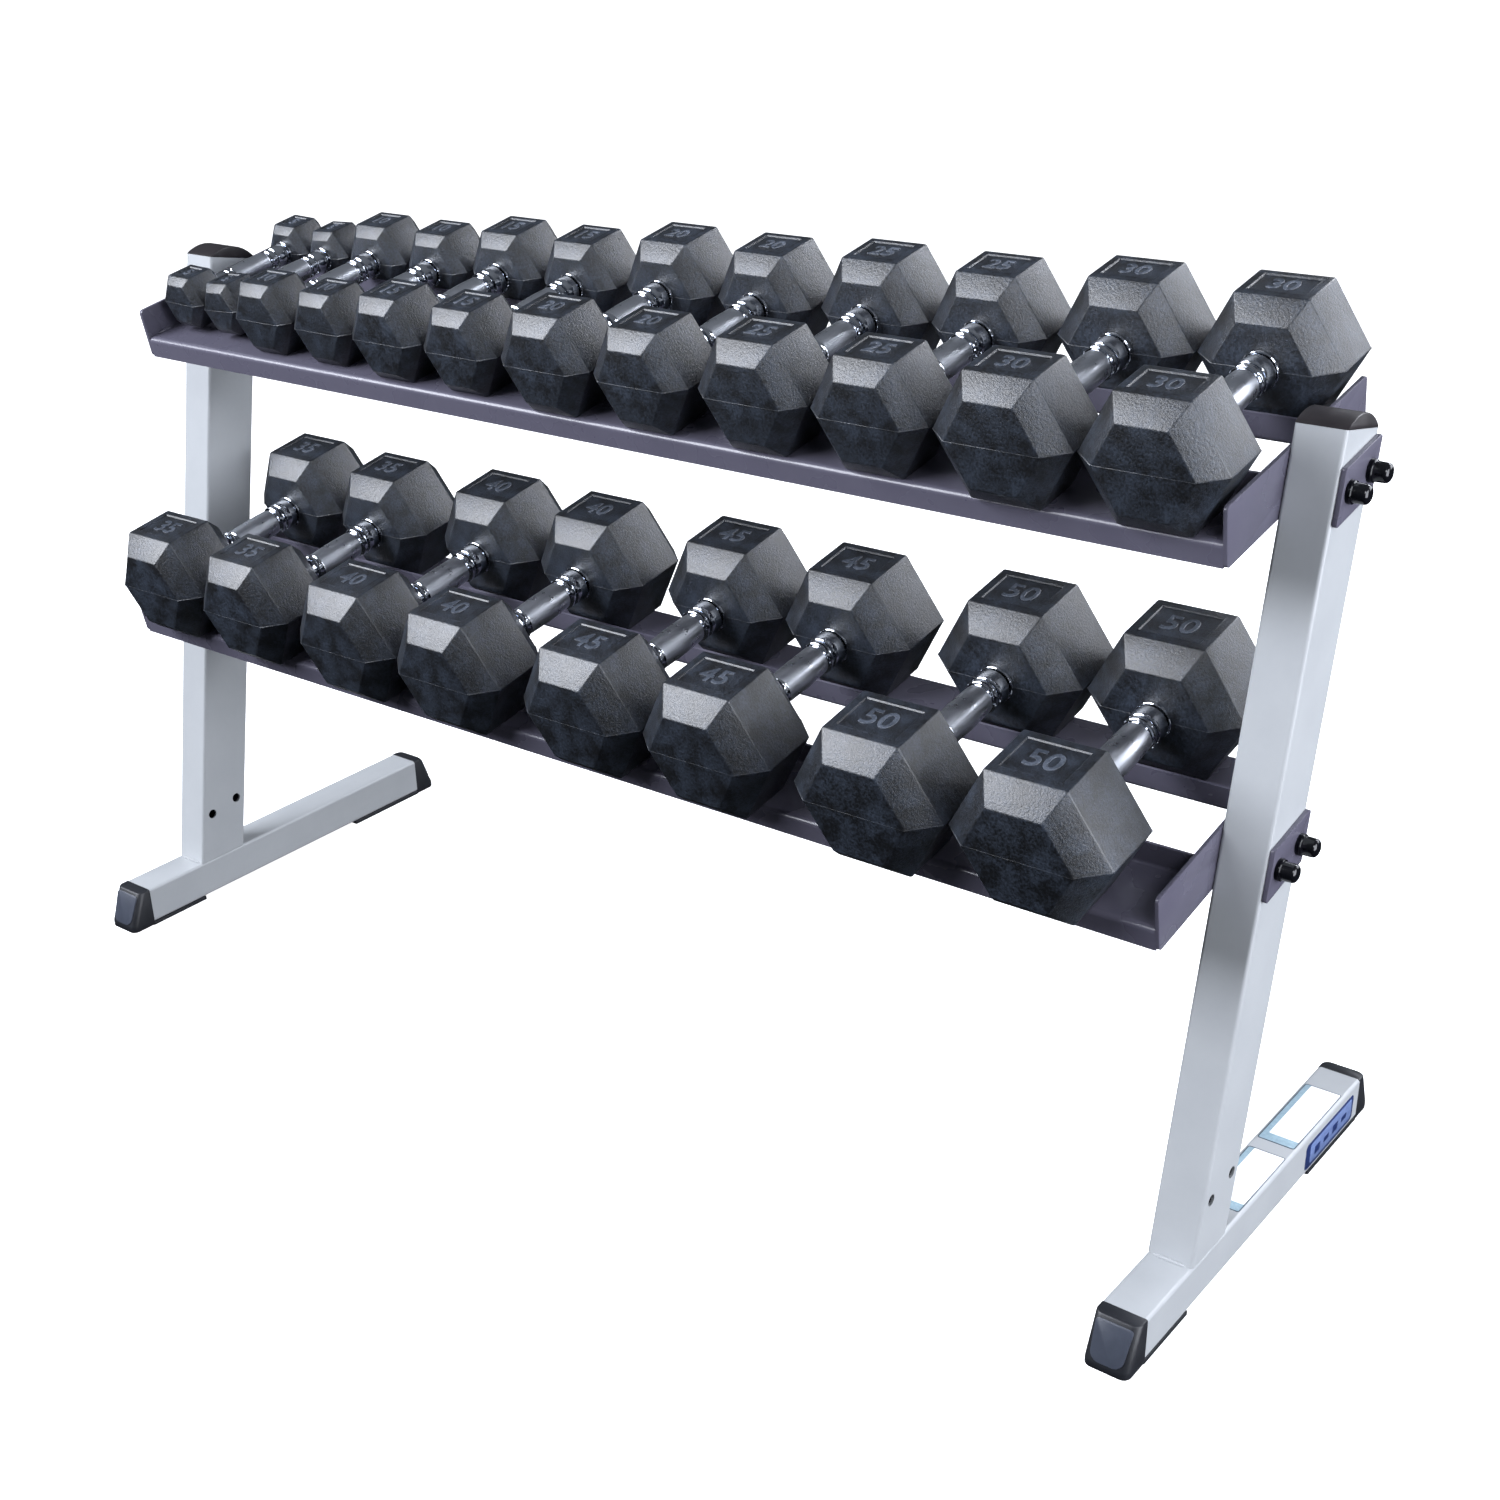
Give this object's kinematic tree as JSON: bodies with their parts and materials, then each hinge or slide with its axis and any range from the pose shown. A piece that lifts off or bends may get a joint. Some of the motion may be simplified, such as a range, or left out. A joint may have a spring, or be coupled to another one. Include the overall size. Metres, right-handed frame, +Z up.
{
  "type": "dumbbell rack",
  "caption": "Tiered rack for hex dumbbells: leaning tube uprights on tube feet, tilted sheet-metal rail shelves, and rubber hex dumbbells with chrome handles.",
  "frame": {"origin": "on the floor, under the middle of the feet", "axes": "+X along the shelves to the user's right, -Y towards the user, +Z up"},
  "size_m": [1.625, 0.584, 0.9672],
  "materials": {
    "frame_powder_coat": "satin",
    "shelf_powder_coat": "satin",
    "cap_plastic": "satin",
    "nut_cap_plastic": "gloss",
    "black_zinc": "satin",
    "label_vinyl": "satin",
    "head_rubber_over_iron": "matte",
    "handle_chrome": "polished"
  },
  "bodies": {
    "rack": {"left_foot": "frame_powder_coat", "left_upright": "frame_powder_coat", "right_foot": "frame_powder_coat", "right_upright": "frame_powder_coat", "front_foot_caps": "cap_plastic", "rear_foot_caps": "cap_plastic", "upright_caps": "cap_plastic", "foot_labels": "label_vinyl", "upper_front_rail": "shelf_powder_coat", "upper_rear_rail": "shelf_powder_coat", "upper_end_plates": "shelf_powder_coat", "lower_front_rail": "shelf_powder_coat", "lower_rear_rail": "shelf_powder_coat", "lower_end_plates": "shelf_powder_coat", "clamp_plates": "shelf_powder_coat", "shelf_bolts": "black_zinc", "flange_nuts": "black_zinc", "nut_caps": "nut_cap_plastic"},
    "upper_dumbbell_01": {"upper_dumbbell_01_heads": "head_rubber_over_iron", "upper_dumbbell_01_handle": "handle_chrome"},
    "upper_dumbbell_02": {"upper_dumbbell_02_heads": "head_rubber_over_iron", "upper_dumbbell_02_handle": "handle_chrome"},
    "upper_dumbbell_03": {"upper_dumbbell_03_heads": "head_rubber_over_iron", "upper_dumbbell_03_handle": "handle_chrome"},
    "upper_dumbbell_04": {"upper_dumbbell_04_heads": "head_rubber_over_iron", "upper_dumbbell_04_handle": "handle_chrome"},
    "upper_dumbbell_05": {"upper_dumbbell_05_heads": "head_rubber_over_iron", "upper_dumbbell_05_handle": "handle_chrome"},
    "upper_dumbbell_06": {"upper_dumbbell_06_heads": "head_rubber_over_iron", "upper_dumbbell_06_handle": "handle_chrome"},
    "upper_dumbbell_07": {"upper_dumbbell_07_heads": "head_rubber_over_iron", "upper_dumbbell_07_handle": "handle_chrome"},
    "upper_dumbbell_08": {"upper_dumbbell_08_heads": "head_rubber_over_iron", "upper_dumbbell_08_handle": "handle_chrome"},
    "upper_dumbbell_09": {"upper_dumbbell_09_heads": "head_rubber_over_iron", "upper_dumbbell_09_handle": "handle_chrome"},
    "upper_dumbbell_10": {"upper_dumbbell_10_heads": "head_rubber_over_iron", "upper_dumbbell_10_handle": "handle_chrome"},
    "upper_dumbbell_11": {"upper_dumbbell_11_heads": "head_rubber_over_iron", "upper_dumbbell_11_handle": "handle_chrome"},
    "upper_dumbbell_12": {"upper_dumbbell_12_heads": "head_rubber_over_iron", "upper_dumbbell_12_handle": "handle_chrome"},
    "lower_dumbbell_01": {"lower_dumbbell_01_heads": "head_rubber_over_iron", "lower_dumbbell_01_handle": "handle_chrome"},
    "lower_dumbbell_02": {"lower_dumbbell_02_heads": "head_rubber_over_iron", "lower_dumbbell_02_handle": "handle_chrome"},
    "lower_dumbbell_03": {"lower_dumbbell_03_heads": "head_rubber_over_iron", "lower_dumbbell_03_handle": "handle_chrome"},
    "lower_dumbbell_04": {"lower_dumbbell_04_heads": "head_rubber_over_iron", "lower_dumbbell_04_handle": "handle_chrome"},
    "lower_dumbbell_05": {"lower_dumbbell_05_heads": "head_rubber_over_iron", "lower_dumbbell_05_handle": "handle_chrome"},
    "lower_dumbbell_06": {"lower_dumbbell_06_heads": "head_rubber_over_iron", "lower_dumbbell_06_handle": "handle_chrome"},
    "lower_dumbbell_07": {"lower_dumbbell_07_heads": "head_rubber_over_iron", "lower_dumbbell_07_handle": "handle_chrome"},
    "lower_dumbbell_08": {"lower_dumbbell_08_heads": "head_rubber_over_iron", "lower_dumbbell_08_handle": "handle_chrome"}
  },
  "joints": [
    {"name": "upper_dumbbell_01_lift", "type": "slide", "parent": "rack", "child": "upper_dumbbell_01", "axis": [0, -0.1785, 0.9839], "range_m": [0, 0.2]},
    {"name": "upper_dumbbell_02_lift", "type": "slide", "parent": "rack", "child": "upper_dumbbell_02", "axis": [0, -0.1785, 0.9839], "range_m": [0, 0.2]},
    {"name": "upper_dumbbell_03_lift", "type": "slide", "parent": "rack", "child": "upper_dumbbell_03", "axis": [0, -0.1785, 0.9839], "range_m": [0, 0.2]},
    {"name": "upper_dumbbell_04_lift", "type": "slide", "parent": "rack", "child": "upper_dumbbell_04", "axis": [0, -0.1785, 0.9839], "range_m": [0, 0.2]},
    {"name": "upper_dumbbell_05_lift", "type": "slide", "parent": "rack", "child": "upper_dumbbell_05", "axis": [0, -0.1785, 0.9839], "range_m": [0, 0.2]},
    {"name": "upper_dumbbell_06_lift", "type": "slide", "parent": "rack", "child": "upper_dumbbell_06", "axis": [0, -0.1785, 0.9839], "range_m": [0, 0.2]},
    {"name": "upper_dumbbell_07_lift", "type": "slide", "parent": "rack", "child": "upper_dumbbell_07", "axis": [0, -0.1785, 0.9839], "range_m": [0, 0.2]},
    {"name": "upper_dumbbell_08_lift", "type": "slide", "parent": "rack", "child": "upper_dumbbell_08", "axis": [0, -0.1785, 0.9839], "range_m": [0, 0.2]},
    {"name": "upper_dumbbell_09_lift", "type": "slide", "parent": "rack", "child": "upper_dumbbell_09", "axis": [0, -0.1785, 0.9839], "range_m": [0, 0.2]},
    {"name": "upper_dumbbell_10_lift", "type": "slide", "parent": "rack", "child": "upper_dumbbell_10", "axis": [0, -0.1785, 0.9839], "range_m": [0, 0.2]},
    {"name": "upper_dumbbell_11_lift", "type": "slide", "parent": "rack", "child": "upper_dumbbell_11", "axis": [0, -0.1785, 0.9839], "range_m": [0, 0.2]},
    {"name": "upper_dumbbell_12_lift", "type": "slide", "parent": "rack", "child": "upper_dumbbell_12", "axis": [0, -0.1785, 0.9839], "range_m": [0, 0.2]},
    {"name": "lower_dumbbell_01_lift", "type": "slide", "parent": "rack", "child": "lower_dumbbell_01", "axis": [0, -0.1785, 0.9839], "range_m": [0, 0.1]},
    {"name": "lower_dumbbell_02_lift", "type": "slide", "parent": "rack", "child": "lower_dumbbell_02", "axis": [0, -0.1785, 0.9839], "range_m": [0, 0.1]},
    {"name": "lower_dumbbell_03_lift", "type": "slide", "parent": "rack", "child": "lower_dumbbell_03", "axis": [0, -0.1785, 0.9839], "range_m": [0, 0.1]},
    {"name": "lower_dumbbell_04_lift", "type": "slide", "parent": "rack", "child": "lower_dumbbell_04", "axis": [0, -0.1785, 0.9839], "range_m": [0, 0.1]},
    {"name": "lower_dumbbell_05_lift", "type": "slide", "parent": "rack", "child": "lower_dumbbell_05", "axis": [0, -0.1785, 0.9839], "range_m": [0, 0.1]},
    {"name": "lower_dumbbell_06_lift", "type": "slide", "parent": "rack", "child": "lower_dumbbell_06", "axis": [0, -0.1785, 0.9839], "range_m": [0, 0.1]},
    {"name": "lower_dumbbell_07_lift", "type": "slide", "parent": "rack", "child": "lower_dumbbell_07", "axis": [0, -0.1785, 0.9839], "range_m": [0, 0.1]},
    {"name": "lower_dumbbell_08_lift", "type": "slide", "parent": "rack", "child": "lower_dumbbell_08", "axis": [0, -0.1785, 0.9839], "range_m": [0, 0.1]}
  ]
}
